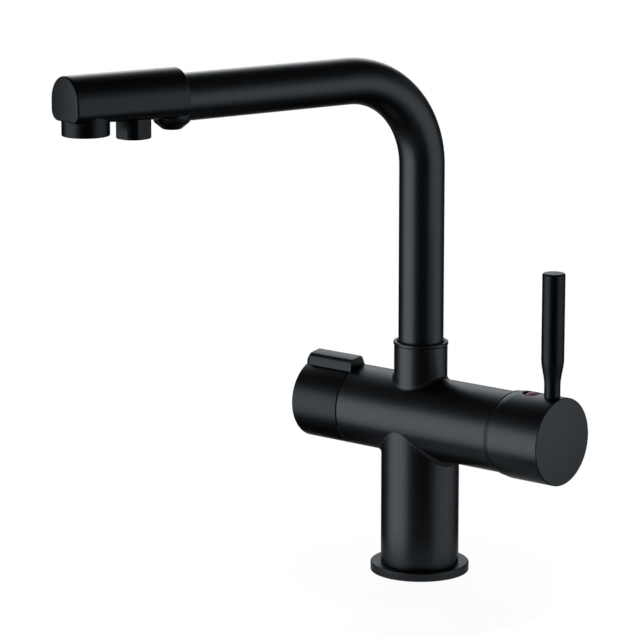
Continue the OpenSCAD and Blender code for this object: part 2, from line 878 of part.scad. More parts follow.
module filter_seat_seal() {
    color(rubber) filter_side() pipe(valve_disc_r, valve_disc_r - seat_seal_w, valve_floor, fixed_disc_at);
}

module valve_disc_holes(z0, z1, turn) {
    for (side = [-1, 1]) {
        rotate([0, 0, turn]) translate([side * disc_hole_at, 0, 0]) bar(disc_hole_r, z0 - cut, z1 + cut);
    }
}

module filter_fixed_disc() {
    color(ceramic) filter_side() difference() {
        bar(valve_disc_r, fixed_disc_at, moving_disc_at);
        valve_disc_holes(fixed_disc_at, moving_disc_at, 90 - knob_turn);
    }
}

module drive_tongue(w, z1) {
    translate([-valve_disc_r, -w / 2, spindle_flange_at - tongue_t]) {
        cube([2 * valve_disc_r, w, z1 - spindle_flange_at + tongue_t]);
    }
}

module filter_moving_disc() {
    color(ceramic) knob_turned() difference() {
        bar(valve_disc_r, moving_disc_at, spindle_flange_at);
        valve_disc_holes(moving_disc_at, spindle_flange_at, 0);
        drive_tongue(tongue_w + 2 * seat_gap, spindle_flange_at + cut);
    }
}

module filter_spindle() {
    color(brass) knob_turned() difference() {
        union() {
            bar(valve_disc_r, spindle_flange_at, spindle_flange_at + spindle_flange_t);
            intersection() {
                drive_tongue(tongue_w, spindle_flange_at + cut);
                bar(valve_disc_r, moving_disc_at, spindle_end);
            }
            bar(spindle_r, spindle_flange_at, clip_at + clip_t + cut);
            translate([-spindle_square / 2, -spindle_square / 2, clip_at]) {
                cube([spindle_square, spindle_square, spindle_end - clip_at]);
            }
        }
        valve_disc_holes(spindle_flange_at - tongue_t, spindle_flange_at + cut, 0);
        for (z = spindle_seal_at) {
            pipe(
                spindle_r + cut,
                spindle_r - 2 * spindle_seal_r,
                z - spindle_seal_r - seal_slack,
                z + spindle_seal_r + seal_slack
            );
        }
        pipe(clip_r, clip_groove_r, clip_at, clip_at + clip_t);
    }
}

module filter_spindle_o_rings() {
    color(rubber) knob_turned() for (z = spindle_seal_at) {
        o_ring(spindle_r + seat_gap - spindle_seal_r, spindle_seal_r, z);
    }
}

module filter_spindle_clip() {
    color(steel) knob_turned() difference() {
        pipe(clip_r, clip_groove_r + seat_gap, clip_at + seat_gap, clip_at + clip_t - seat_gap);
        translate([0, -clip_mouth / 2, clip_at - cut]) {
            cube([clip_r + cut, clip_mouth, clip_t + 2 * cut]);
        }
    }
}

module knob_rib() {
    half = rib_w / 2;
    foot = half + rib_flare;
    foot_x = sqrt(knob_r * knob_r - foot * foot);
    top = knob_r + rib_h;
    side = [
        [knob_hub_r, foot], [foot_x, foot], [top - rib_chamfer, half], [top, half - rib_chamfer]
    ];
    slope = 2 * rib_chamfer;
    intersection() {
        translate([0, 0, knob_face]) linear_extrude(knob_end - knob_face) {
            polygon(concat(side, [for (i = [3 : -1 : 0]) [side[i][0], -side[i][1]]]));
        }
        rotate([90, 0, 0]) linear_extrude(2 * foot + cut, center = true) polygon([
            [0, knob_face], [top, knob_face], [top, knob_end - slope], [top - slope, knob_end],
            [0, knob_end]
        ]);
    }
}

module filter_knob() {
    socket = spindle_square / 2 + seat_gap;
    color(black) knob_turned() difference() {
        union() {
            rounded_bar(knob_r, knob_face, knob_end, fine_edge, edge);
            knob_rib();
        }
        difference() {
            bar(knob_r - knob_wall, knob_face - cut, knob_floor);
            bar(knob_hub_r, knob_hub_at, knob_floor + cut);
        }
        translate([-socket, -socket, knob_hub_at - cut]) {
            cube([2 * socket, 2 * socket, spindle_end + seat_gap - knob_hub_at + cut]);
        }
        translate([0, 0, knob_screw_at]) rotate([0, -90, 0]) bar(knob_screw_r, 0, knob_r + cut);
    }
}

module filter_knob_screw() {
    low = spindle_square / 2;
    color(steel) knob_turned() translate([0, 0, knob_screw_at]) rotate([0, -90, 0]) difference() {
        bar(knob_screw_r - seat_gap, low, knob_hub_r - edge);
        translate([0, 0, knob_hub_r - edge]) key_socket(small_key_r, key_depth);
    }
}

// Spout

// A round bar along the spout's middle line, from height z0 up, round the bend and out to s1
module spout_path(r, z0, s1) {
    bar(r, z0, spout_z - spout_bend);
    translate([0, -spout_bend, spout_z - spout_bend]) rotate([90, 0, 90]) {
        rotate_extrude(angle = 90) translate([spout_bend, 0]) circle(r);
    }
    translate([0, -spout_bend, spout_z]) rotate([90, 0, 0]) cylinder(r = r, h = s1 - spout_bend);
}

// The screw hole through the boss under the head and the tube's wall
module head_screw_hole() {
    translate([0, -boss_s, spout_z]) bar(head_screw_r, -boss_drop - cut, -tube_bore_r + cut);
}

module spout_tube() {
    color(black) swivelled() difference() {
        spout_path(spout_r, tube_foot, tube_end);
        spout_path(tube_bore_r, tube_foot - cut, tube_end + cut);
        head_screw_hole();
    }
}

module spout_spigot() {
    color(brass) difference() {
        union() {
            bar(spigot_r, spigot_foot, tube_foot - seat_gap);
            bar(tube_bore_r - seat_gap, spigot_foot, tube_foot + spigot_in_tube);
        }
        bar(spigot_bore_r, spigot_foot - cut, tube_foot + spigot_in_tube + cut);
        for (z = o_ring_heights) {
            pipe(spigot_r + cut, spigot_r - 2 * o_ring_r, z - groove_w / 2, z + groove_w / 2);
        }
        pipe(spigot_r + cut, lock_groove_r, lock_z - lock_groove_w / 2, lock_z + lock_groove_w / 2);
    }
}

module spout_o_rings() {
    color(rubber) for (z = o_ring_heights) o_ring(spigot_r + seat_gap - o_ring_r, o_ring_r, z);
}

module filter_tube() {
    color(plastic) swivelled() difference() {
        spout_path(filter_tube_r, coupler_step, filter_tube_end);
        spout_path(filter_tube_r - filter_tube_wall, coupler_step - cut, filter_tube_end + cut);
    }
}

module filter_tube_coupler() {
    color(brass) difference() {
        bar(coupler_r, coupler_foot, coupler_top);
        bar(coupler_bore_r, coupler_foot - cut, coupler_step - coupler_gap);
        bar(filter_tube_r - filter_tube_wall, coupler_foot, coupler_top);
        bar(filter_tube_r + seat_gap, coupler_step, coupler_top + cut);
    }
}

// Three thin discs that mark the head's loaf-shaped section at distance s, drawn in by inset
module head_section(s, half, rise, inset) {
    thin = 0.05;
    low = head_under(s) - spout_z + head_edge;
    on_arm(s) {
        translate([0, rise, 0]) cylinder(r = half - inset, h = thin);
        for (side = [-1, 1]) {
            translate([side * (half - head_edge), low, 0]) cylinder(r = head_edge - inset, h = thin);
        }
    }
}

module head_solid() {
    hull($fn = 48) {
        head_section(head_rear, head_rear_r, head_rear_rise, head_round / 2);
        head_section(head_rear + head_round, head_rear_r, head_rear_rise, 0);
        head_section(head_front - head_round, head_front_r, head_front_rise, 0);
        head_section(head_front, head_front_r, head_front_rise, head_round / 2);
    }
}

// Children's origin put on an outlet's seat
module at_outlet(s, seat) swivelled() translate([0, -s, seat]) children();

// Level seat for an outlet of diameter d, with a threaded bore of radius r above it
module outlet_cut(s, seat, d, r, depth) {
    translate([0, -s, seat]) {
        bar(d / 2 + seat_gap, -spout_r, 0);
        bar(r, -cut, depth);
    }
}

// The room for the tube's end and its seal ring, open at the rear
module tube_socket() {
    start = boss_s - boss_r;
    on_arm(start) cylinder(r = spout_r + seat_gap, h = tube_end + head_seal_t - start);
}

module head_water_ways() {
    difference() {
        on_arm(tube_end) translate([0, head_rear_rise, 0]) {
            cylinder(r = head_chamber_r, h = spout_reach - tube_end);
        }
        translate([0, -nozzle_at, 0]) bar(pillar_r, spout_z - spout_r, pillar_top);
    }
    translate([0, -spout_reach, 0]) bar(head_chamber_r, aerator_seat, spout_z);
    on_arm(tube_end) cylinder(r = filter_tube_r + seat_gap, h = nozzle_at - tube_end);
    translate([0, -nozzle_at, 0]) bar(filter_tube_r - filter_tube_wall, nozzle_seat, spout_z);
}

module spout_head() {
    color(black) swivelled() difference() {
        union() {
            head_solid();
            on_arm(boss_s) translate([0, boss_r - boss_drop, 0]) sphere(boss_r);
        }
        tube_socket();
        head_water_ways();
        outlet_cut(spout_reach, aerator_seat, aerator_d, aerator_thread_r, aerator_thread_l);
        outlet_cut(nozzle_at, nozzle_seat, nozzle_d, nozzle_thread_r, nozzle_thread_l);
        head_screw_hole();
    }
}

module head_seal_ring() {
    color(rubber) swivelled() on_arm(tube_end) pipe(spout_r, tube_bore_r, 0, head_seal_t);
}

// Grub screw that locks the tube in the head
module head_lock_screw() {
    color(steel) swivelled() translate([0, -boss_s, spout_z]) mirror([0, 0, 1]) difference() {
        bar(head_screw_r - seat_gap, tube_bore_r, boss_drop - edge);
        translate([0, 0, boss_drop - edge]) key_socket(small_key_r, head_key_depth);
    }
}

// Housing of an outlet: a ring below the seat and a thread above it, with a lip that holds the insert
module outlet_housing(h, thread_r, thread_l, insert_r) {
    difference() {
        union() {
            children();
            bar(thread_r - seat_gap, -h / 2, thread_l - washer_t);
        }
        bar(insert_r + seat_gap, outlet_lip_t - h, thread_l + cut);
        bar(insert_r - outlet_lip_w, -h - cut, thread_l);
    }
}

// Washer above an outlet's insert
module outlet_washer(thread_r, thread_l, insert_r) {
    pipe(thread_r - seat_gap, insert_r - outlet_lip_w, thread_l - washer_t, thread_l);
}

// Flow straightener of an outlet: a plug with rings of holes round its middle
module outlet_insert(h, thread_l, insert_r, rings) {
    low = outlet_lip_t - h;
    high = thread_l - washer_t;
    difference() {
        bar(insert_r, low, high);
        for (ring = [1 : rings]) {
            for (i = [0 : 6 * ring - 1]) {
                rotate([0, 0, i * 60 / ring]) translate([ring * insert_r / (rings + 1), 0, 0]) {
                    bar(jet_r, low - cut, high + cut);
                }
            }
        }
    }
}

module aerator_housing() {
    color(black) at_outlet(spout_reach, aerator_seat) {
        outlet_housing(aerator_body_h, aerator_thread_r, aerator_thread_l, aerator_insert_r) {
            rounded_bar(aerator_d / 2, -aerator_body_h, 0, edge, outlet_edge);
        }
    }
}

module aerator_insert() {
    color(plastic) at_outlet(spout_reach, aerator_seat) {
        outlet_insert(aerator_body_h, aerator_thread_l, aerator_insert_r, 2);
    }
}

module aerator_washer() {
    color(rubber) at_outlet(spout_reach, aerator_seat) {
        outlet_washer(aerator_thread_r, aerator_thread_l, aerator_insert_r);
    }
}

module filter_outlet_nozzle() {
    color(black) at_outlet(nozzle_at, nozzle_seat) {
        outlet_housing(nozzle_body_h, nozzle_thread_r, nozzle_thread_l, nozzle_insert_r) intersection() {
            rounded_bar(nozzle_d / 2, -nozzle_body_h, 0, edge, outlet_edge);
            rotate([0, 0, nozzle_flat_turn]) translate([0, 0, -nozzle_body_h / 2]) {
                cube([nozzle_flat, nozzle_flat, nozzle_body_h], center = true);
            }
        }
    }
}

module filter_outlet_insert() {
    color(plastic) at_outlet(nozzle_at, nozzle_seat) {
        outlet_insert(nozzle_body_h, nozzle_thread_l, nozzle_insert_r, 1);
    }
}

module filter_outlet_washer() {
    color(rubber) at_outlet(nozzle_at, nozzle_seat) {
        outlet_washer(nozzle_thread_r, nozzle_thread_l, nozzle_insert_r);
    }
}

body_casting();
base_ring();
base_seal();
slide_ring();
spout_retaining_screw();
filter_nipple();
filter_nipple_seal();
mixer_port_seals();
mixer_cartridge_base();
mixer_fixed_disc();
mixer_cartridge_housing();
mixer_cartridge_nut();
filter_valve_body();
filter_flange_seal();
filter_seat_seal();
filter_fixed_disc();
spout_tube();
spout_spigot();
spout_o_rings();
filter_tube();
filter_tube_coupler();
spout_head();
head_seal_ring();
head_lock_screw();
aerator_housing();
aerator_insert();
aerator_washer();
filter_outlet_nozzle();
filter_outlet_insert();
filter_outlet_washer();
filter_knob();
filter_knob_screw();
filter_spindle();
filter_spindle_o_rings();
filter_spindle_clip();
filter_moving_disc();
mixer_rotor();
mixer_pivot_pin();
mixer_disc_carrier();
mixer_moving_disc();
mixer_stem();
mixer_cap();
mixer_lever();
mixer_handle_screw();
indicator_red();
indicator_blue();
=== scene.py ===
# %% [markdown]
# # A black three-way kitchen tap
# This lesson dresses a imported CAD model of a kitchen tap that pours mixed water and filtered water.
# The CAD model is the frame: every piece stays where it is, and Blender adds the finish, the rounded
# edges and the studio. All places are in metres, with the tap's foot at the origin and +Z up.

import json
from math import asin, cos, degrees, pi, radians, sin, sqrt

import bmesh
import bpy
from mathutils import Euler, Matrix, Vector


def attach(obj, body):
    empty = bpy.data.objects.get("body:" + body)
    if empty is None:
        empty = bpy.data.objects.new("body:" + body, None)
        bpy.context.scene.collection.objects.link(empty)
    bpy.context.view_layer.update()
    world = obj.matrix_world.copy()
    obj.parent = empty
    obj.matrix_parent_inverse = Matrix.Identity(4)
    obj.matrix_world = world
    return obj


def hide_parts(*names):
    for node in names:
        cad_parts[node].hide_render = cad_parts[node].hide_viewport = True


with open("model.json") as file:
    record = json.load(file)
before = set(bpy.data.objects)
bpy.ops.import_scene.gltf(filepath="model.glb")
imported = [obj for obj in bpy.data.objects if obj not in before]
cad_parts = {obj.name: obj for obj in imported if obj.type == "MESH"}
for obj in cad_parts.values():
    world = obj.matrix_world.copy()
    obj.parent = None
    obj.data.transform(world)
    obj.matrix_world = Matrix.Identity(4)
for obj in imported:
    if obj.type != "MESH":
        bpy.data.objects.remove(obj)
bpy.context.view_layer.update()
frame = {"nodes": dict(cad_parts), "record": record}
nodes = frame["nodes"]
record = frame["record"]
scene = bpy.context.scene

# %% [markdown]
# ## The camera
# The photograph was taken with a long lens from the front right and a little above, so the two ends of
# the barrel look almost the same size. A camera can be placed by hand, but here the turn, the tilt and
# the distance were fitted to the tap's own edges, and the camera looks at one named point.

# %% Set the camera up
VIEW_TURN = radians(39.94)
VIEW_TILT = radians(11.86)
VIEW_DISTANCE = 1.850
VIEW_MIDDLE = Vector((-0.0417, -0.0370, 0.1425))
LENS_MM = 188.84


def away(turn, tilt):
    """The direction from the tap towards something that stands at this turn from -Y and this tilt up."""
    return Vector((sin(turn) * cos(tilt), -cos(turn) * cos(tilt), sin(tilt)))


lens = bpy.data.cameras.new("long_lens")
lens.lens = LENS_MM
camera = bpy.data.objects.new("long_lens", lens)
camera.location = VIEW_MIDDLE + VIEW_DISTANCE * away(VIEW_TURN, VIEW_TILT)
camera.rotation_euler = Euler((pi / 2 - VIEW_TILT, 0, VIEW_TURN))
scene.collection.objects.link(camera)
scene.camera = camera
print("camera at", [round(x, 3) for x in camera.location])

# %% [markdown]
# ## Writing shaders as sums
# A finish is a small calculation: a noise makes a number, the number is scaled, and the result is the
# roughness. Nodes could be made and linked one by one, but that hides the calculation. The class below
# wraps one output socket, so that a sum of sockets in Python adds the Math nodes by itself.

# %% The socket wrapper
MIX_FACTOR = 0
MIX_A = 6
MIX_B = 7
MIX_COLOUR = 2


class Wire:
    """An output socket of a shader tree. Arithmetic on it adds Math nodes."""

    def __init__(self, tree, socket=None):
        self.tree = tree
        self.socket = socket

    def node(self, kind, settings=None, inputs=None, output=0):
        """Any node: its type, its settings, then the values or wires of its sockets."""
        made = self.tree.nodes.new("ShaderNode" + kind)
        for name, value in (settings or {}).items():
            setattr(made, name, value)
        for name, value in (inputs or {}).items():
            if isinstance(value, Wire):
                self.tree.links.new(value.socket, made.inputs[name])
            else:
                made.inputs[name].default_value = value
        return Wire(self.tree, made.outputs[output])

    def math(self, operation, a, b):
        return self.node("Math", {"operation": operation}, {0: a, 1: b})

    def __add__(self, other):
        return self.math("ADD", self, other)

    def __sub__(self, other):
        return self.math("SUBTRACT", self, other)

    def __rsub__(self, other):
        return self.math("SUBTRACT", other, self)

    def __mul__(self, other):
        return self.math("MULTIPLY", self, other)

    __radd__ = __add__
    __rmul__ = __mul__

    def noise(self, scale, detail=2.0):
        """A soft noise between 0 and 1, with this many bumps to the metre."""
        return self.node("TexNoise", {}, {"Vector": self, "Scale": scale, "Detail": detail})

    def mixed(self, dark, light):
        """A colour between two colours, at the place that this value gives."""
        inputs = {MIX_FACTOR: self, MIX_A: (*dark, 1), MIX_B: (*light, 1)}
        return self.node("Mix", {"data_type": "RGBA"}, inputs, MIX_COLOUR)


print("wires add, subtract and multiply")

# %% [markdown]
# ## The studio room
# The photograph has a plain white ground. A room could be modelled wall by wall, but a background that
# depends on the height alone does the same: it is white to a little above the horizon and dark overhead.
# It is that bright for the camera and in reflections only, because the light path keeps it from throwing
# so much light on the tap.

# %% Studio room
WALL_TOP = sin(radians(16))
CEILING_FROM = sin(radians(32))
CEILING_LEVEL = 0.12
ROOM_LIGHT = 0.3
SEEN_RAYS = ("Is Camera Ray", "Is Glossy Ray", "Is Transmission Ray")


def seen_directly(wire):
    """1 for camera, glossy and transmission rays, 0 for the rays that light the tap."""
    camera_ray, glossy_ray, glass_ray = [wire.node("LightPath", output=name) for name in SEEN_RAYS]
    return wire.math("MAXIMUM", wire.math("MAXIMUM", camera_ray, glossy_ray), glass_ray)


world = bpy.data.worlds.new("studio")
world.use_nodes = True
room = Wire(world.node_tree).node("TexCoord", output="Generated")
height = room.node("SeparateXYZ", {}, {0: room}, output="Z")
limits = {"From Min": WALL_TOP, "From Max": CEILING_FROM, "To Min": 1.0, "To Max": CEILING_LEVEL}
level = room.node("MapRange", {"interpolation_type": "SMOOTHSTEP"}, {"Value": height, **limits})
level = level * (ROOM_LIGHT + (1 - ROOM_LIGHT) * seen_directly(room))
backdrop = world.node_tree.nodes["Background"]
backdrop.inputs["Color"].default_value = (1, 1, 1, 1)
world.node_tree.links.new(level.socket, backdrop.inputs["Strength"])
scene.world = world
scene.view_settings.view_transform = "Standard"
print("room white up to", round(degrees(asin(WALL_TOP))), "degrees")

# %% [markdown]
# ## The table
# A wide floor would hide the lower halves of the soft boxes from the column, so the tap stands on a small
# round board under white paper. It is turned like everything else that is round here. A lathe is the
# natural tool for it: an outline of radius and height is copied round the axis and the copies are joined
# with faces. The paper is white to the camera and in reflections through the light path, so that no
# extra light falls on the tap for its sake, and a share of it stays paper, to hold the shadow.

# %% A lathe
SIDES = 128
SHARP_ANGLE = radians(17)
WELD = 1e-6
ON_AXIS = 1e-7


def arc(middle, radius, start, end, steps=8):
    """Points on an arc of an outline, from one angle to another, in degrees."""
    turns = [radians(start + (end - start) * i / steps) for i in range(steps + 1)]
    return [(middle[0] + radius * cos(t), middle[1] + radius * sin(t)) for t in turns]


def new_piece(name, mesh_maker):
    """An object whose mesh is what mesh_maker puts into an empty bmesh."""
    build = bmesh.new()
    mesh_maker(build)
    bmesh.ops.remove_doubles(build, verts=build.verts, dist=WELD)
    bmesh.ops.recalc_face_normals(build, faces=build.faces)
    mesh = bpy.data.meshes.new(name)
    build.to_mesh(mesh)
    build.free()
    mesh.shade_smooth()
    mesh.set_sharp_from_angle(angle=SHARP_ANGLE)
    piece = bpy.data.objects.new(name, mesh)
    scene.collection.objects.link(piece)
    return piece


def skin(build, rows, closed=True):
    """Faces between rows of points. A row with one point closes the skin with a fan."""
    made = [[build.verts.new(point) for point in row] for row in rows]
    for low, high in zip(made, made[1:]):
        count = max(len(low), len(high))
        for i in range(count if closed else count - 1):
            j = (i + 1) % count
            corners = [low[i % len(low)], low[j % len(low)], high[j % len(high)], high[i % len(high)]]
            corners = [c for k, c in enumerate(corners) if c not in corners[:k]]
            if len(corners) > 2:
                build.faces.new(corners)
    return made


def turned_rows(outline, place=Matrix(), sides=SIDES):
    """The rings of points that an outline of (radius, height) sweeps round a matrix's Z axis."""
    rings = []
    for radius, height in outline:
        turns = [2 * pi * i / sides for i in range(sides)] if radius > ON_AXIS else [0]
        rings.append([place @ Vector((radius * cos(t), radius * sin(t), height)) for t in turns])
    return rings


print("a lathe with", SIDES, "sides")

# %% Round board
TABLE_R = 0.075
TABLE_T = 0.018
TABLE_EDGE = 0.004

edge_low = arc((TABLE_R - TABLE_EDGE, TABLE_EDGE - TABLE_T), TABLE_EDGE, -90, 0)
edge_high = arc((TABLE_R - TABLE_EDGE, -TABLE_EDGE), TABLE_EDGE, 0, 90)
board_outline = [(0, -TABLE_T), *edge_low, *edge_high, (0, 0)]
table = new_piece("table", lambda build: skin(build, turned_rows(board_outline)))
print("table", len(table.data.vertices), "points")

# %% White paper
PAPER_DARK = (0.90, 0.90, 0.90)
PAPER_LIGHT = (0.94, 0.94, 0.94)
PAPER_CLOUD = 3.0
TABLE_SHADE = 0.04

paper = bpy.data.materials.new("white_paper")
paper.use_nodes = True
tree = paper.node_tree
tree.nodes.clear()
start = Wire(tree)
paper_tone = start.node("TexCoord", output="Object").noise(PAPER_CLOUD).mixed(PAPER_DARK, PAPER_LIGHT)
lit = start.node("BsdfDiffuse", {}, {"Color": paper_tone})
glow = start.node("Emission", {}, {"Color": (1, 1, 1, 1), "Strength": 1.0})
share = seen_directly(start) * (1 - TABLE_SHADE)
surface = start.node("MixShader", {}, {0: share, 1: lit, 2: glow})
sheet = tree.nodes.new("ShaderNodeOutputMaterial")
tree.links.new(surface.socket, sheet.inputs["Surface"])
table.data.materials.append(paper)
print("paper that keeps", TABLE_SHADE, "of its own shade")

# %% [markdown]
# ## The lamps
# Two tall soft boxes made the photograph: one at the front left, which draws the long grey bands, and one
# at the right, which lifts the other side of each tube. A third light, high at the back, draws the light
# edge along the tops. Area lamps of the same size give the same bands. Each has a level, the brightness
# of its cloth, and its power follows from that and its area.

# %% Studio lamps
LAMPS = {
    "front_left_box": dict(turn=-34, tilt=-8, distance=1.3, width=1.5, height=1.25, level=4.1),
    "right_box": dict(turn=117, tilt=-2, distance=1.3, width=1.8, height=0.9, level=1.65),
    "top_box": dict(turn=228, tilt=30, distance=1.4, width=1.2, height=0.70, level=8.7),
}
LIT_MIDDLE = Vector((0, -0.05, 0.13))

for name, box in LAMPS.items():
    light = bpy.data.lights.new(name, "AREA")
    light.shape = "RECTANGLE"
    light.size = box["width"]
    light.size_y = box["height"]
    light.energy = box["level"] * pi * box["width"] * box["height"]
    lamp = bpy.data.objects.new(name, light)
    towards = away(radians(box["turn"]), radians(box["tilt"]))
    lamp.location = LIT_MIDDLE + box["distance"] * towards
    lamp.rotation_euler = towards.to_track_quat("Z", "Y").to_euler()
    lamp.visible_camera = False
    scene.collection.objects.link(lamp)
    print(name, [round(x, 2) for x in lamp.location])

# %% [markdown]
# ## Dark cards
# A black piece looks black only if it has something dark to reflect. In the photograph the middle of each
# tube, its two edges and its underside are almost black, so dark things stood between the two boxes, at
# both sides and below. A studio uses curved cards of black felt and a dark floor for this. The camera
# looks through them here, and the tap doesn't.

# %% Black felt
FELT_DARK = (0.020, 0.020, 0.020)
FELT_LIGHT = (0.035, 0.035, 0.035)
FELT_FLECKS = 40


def new_finish(name):
    """A new material, as its Principled shader and a wire that starts at the piece's own coordinates."""
    made = bpy.data.materials.new(name)
    made.use_nodes = True
    shader = made.node_tree.nodes["Principled BSDF"]
    return made, shader, Wire(made.node_tree).node("TexCoord", output="Object")


def feed(shader, **inputs):
    """Links wires to a shader's sockets and sets plain values, by the socket's name with _ for spaces."""
    for name, value in inputs.items():
        socket = shader.inputs[name.replace("_", " ")]
        if isinstance(value, Wire):
            value.tree.links.new(value.socket, socket)
        else:
            socket.default_value = value


felt, felt_shader, felt_place = new_finish("black_felt")
felt_tone = felt_place.noise(FELT_FLECKS).mixed(FELT_DARK, FELT_LIGHT)
feed(felt_shader, Base_Color=felt_tone, Roughness=1.0, Specular_IOR_Level=0.0)
print("felt between", FELT_DARK[0], "and", FELT_LIGHT[0])

# %% Dark cards
CARD_TURNS = {"front_card": (2, 80), "left_card": (-130, -72), "right_card": (162, 196)}
CARD_STEPS = 24
CARD_R = 1.6
CARD_LOW = -0.75
CARD_HIGH = 0.60
DARK_FLOOR_R = 1.2
DARK_FLOOR_Z = -0.7


def card_rows(start, end):
    """The lower and the upper edge of a sheet bent round the tap, between two turns in degrees."""
    turns = [radians(start + (end - start) * k / CARD_STEPS) for k in range(CARD_STEPS + 1)]
    return [[CARD_R * away(t, 0) + Vector((0, 0, z)) for t in turns] for z in (CARD_LOW, CARD_HIGH)]


def felt_sheet(name, rows, closed):
    """A sheet of felt over rows of points, which the camera doesn't see."""
    made = new_piece(name, lambda build: skin(build, rows, closed))
    made.visible_camera = False
    made.data.materials.append(felt)
    print(name, len(made.data.polygons), "faces")


for name, (start_turn, end_turn) in CARD_TURNS.items():
    felt_sheet(name, card_rows(start_turn, end_turn), False)
felt_sheet("dark_floor", turned_rows([(0, DARK_FLOOR_Z), (DARK_FLOOR_R, DARK_FLOOR_Z)]), True)

# %% [markdown]
# ## The black coat
# Every outside piece carries a satin black coat. It is very dark, slightly cool, and rough enough that a
# soft box becomes a wide grey band. A dark plastic would turn white along its edges, so the coat is a
# dark metal here, whose tint sets how bright the edges get. Under a loupe the coat has a fine grain and a
# slower unevenness, so the roughness and the bump come from two noises, and the tone drifts a little. The
# head and the knob take a darker copy of the coat, and the lever and the outlets a darker one still. That
# deeper tone is painted shade, standing in for the dimmer light that falls on those pieces.

# %% Black coat
COAT_GRAIN = 2600
COAT_DRIFT = 28
COAT_ROUGHNESS = 0.33
ROUGH_BY_DRIFT = 0.05
ROUGH_BY_GRAIN = 0.04
FINE_GRAIN_DEPTH = 0.000006


def grain_bump(place, height, depth):
    """A normal that a height wire pushes in and out by this many metres."""
    return place.node("Bump", {}, {"Strength": 1.0, "Distance": depth, "Height": height})


def black_coat(name, dark, light, rim):
    """The coat between two tones, with the tint of its edges."""
    made, shader, place = new_finish(name)
    grain = place.noise(COAT_GRAIN)
    drift = place.noise(COAT_DRIFT)
    feed(
        shader,
        Base_Color=drift.mixed(dark, light),
        Metallic=1.0,
        Roughness=COAT_ROUGHNESS + ROUGH_BY_DRIFT * drift + ROUGH_BY_GRAIN * grain,
        Specular_Tint=(rim, rim, rim, 1),
        Normal=grain_bump(place, grain, FINE_GRAIN_DEPTH),
    )
    return made


BODY_COAT = black_coat("satin_black_coat", (0.0164, 0.0187, 0.0210), (0.0190, 0.0218, 0.0244), 0.52)
# Painted shade: a darker copy of the body's coat, for the dimmer light on the head and the knob.
SHADED_COAT = black_coat("shaded_black_coat", (0.0103, 0.0119, 0.0135), (0.0119, 0.0138, 0.0157), 0.54)
# Painted shade: a darker copy still, for the dimmer light on the lever and on the outlets under the head.
DARKEST_SHADED_COAT = black_coat("darkest_shaded_coat", (0.0075, 0.0087, 0.0099), (0.0090, 0.0102, 0.0117), 0.47)
print("three shades of the black coat")

# %% [markdown]
# ## Brass and steel
# The pieces inside are turned from brass, and the screws, the pin and the clip are steel. The cutter
# leaves fine marks on both. A drawn pattern of rings would need the axis of every piece, so a fine noise
# stands for the marks: it makes the roughness uneven, and on brass it lifts the surface a little too.

# %% Brass and steel
BRASS_MARKS = 900
BRASS_TONE = 60
BRASS_MARK_DEPTH = 0.000008
STEEL_MARKS = 1200


def turned_brass():
    made, shader, place = new_finish("turned_brass")
    mark = place.noise(BRASS_MARKS)
    feed(
        shader,
        Base_Color=place.noise(BRASS_TONE).mixed((0.60, 0.40, 0.14), (0.74, 0.53, 0.22)),
        Metallic=1.0,
        Roughness=0.24 + 0.12 * mark,
        Normal=grain_bump(place, mark, BRASS_MARK_DEPTH),
    )
    return made


def machined_steel():
    made, shader, place = new_finish("machined_steel")
    mark = place.noise(STEEL_MARKS)
    feed(
        shader,
        Base_Color=mark.mixed((0.42, 0.43, 0.45), (0.58, 0.59, 0.61)),
        Metallic=1.0,
        Roughness=0.28 + 0.12 * mark,
    )
    return made


FINISHES = {"black_finish": BODY_COAT, "brass": turned_brass(), "steel": machined_steel()}
print(len(FINISHES), "finishes")

# %% [markdown]
# ## Rubber, ceramic and plastic
# The seals are black rubber with a dull, grainy skin. The valve discs are ceramic, lapped almost to a
# shine, with a faint cloud in the white. The cartridge is moulded from white plastic, and the indicator
# from a red and a blue one, deeper where the moulding is thicker. Each is one noise or two, at the scale
# of what it stands for.

# %% Rubber, ceramic and plastic
RUBBER_GRAIN = 1500
RUBBER_GRAIN_DEPTH = 0.00001
CERAMIC_CLOUD = 300
CERAMIC_DETAIL = 4.0
PLASTIC_CLOUD = 160
PLASTIC_GRAIN = 1800
INDICATOR_CLOUD = 500


def black_rubber():
    made, shader, place = new_finish("black_rubber")
    grain = place.noise(RUBBER_GRAIN)
    feed(
        shader,
        Base_Color=grain.mixed((0.012, 0.012, 0.012), (0.022, 0.022, 0.022)),
        Roughness=0.72 + 0.1 * grain,
        Normal=grain_bump(place, grain, RUBBER_GRAIN_DEPTH),
    )
    return made


def lapped_ceramic():
    made, shader, place = new_finish("lapped_ceramic")
    cloud = place.noise(CERAMIC_CLOUD, CERAMIC_DETAIL)
    feed(
        shader,
        Base_Color=cloud.mixed((0.78, 0.78, 0.75), (0.86, 0.86, 0.84)),
        Roughness=0.16 + 0.06 * cloud,
    )
    return made


def moulded_plastic():
    made, shader, place = new_finish("white_moulded_plastic")
    grain = place.noise(PLASTIC_GRAIN)
    feed(
        shader,
        Base_Color=place.noise(PLASTIC_CLOUD).mixed((0.66, 0.66, 0.63), (0.74, 0.74, 0.71)),
        Roughness=0.38 + 0.1 * grain,
        Normal=grain_bump(place, grain, FINE_GRAIN_DEPTH),
    )
    return made


def indicator_plastic(name, deep, bright):
    """The dull coloured plastic of an indicator half."""
    made, shader, place = new_finish(name)
    cloud = place.noise(INDICATOR_CLOUD)
    feed(
        shader,
        Base_Color=cloud.mixed(deep, bright),
        Roughness=0.6 + 0.1 * cloud,
        Specular_IOR_Level=0.12,
    )
    return made


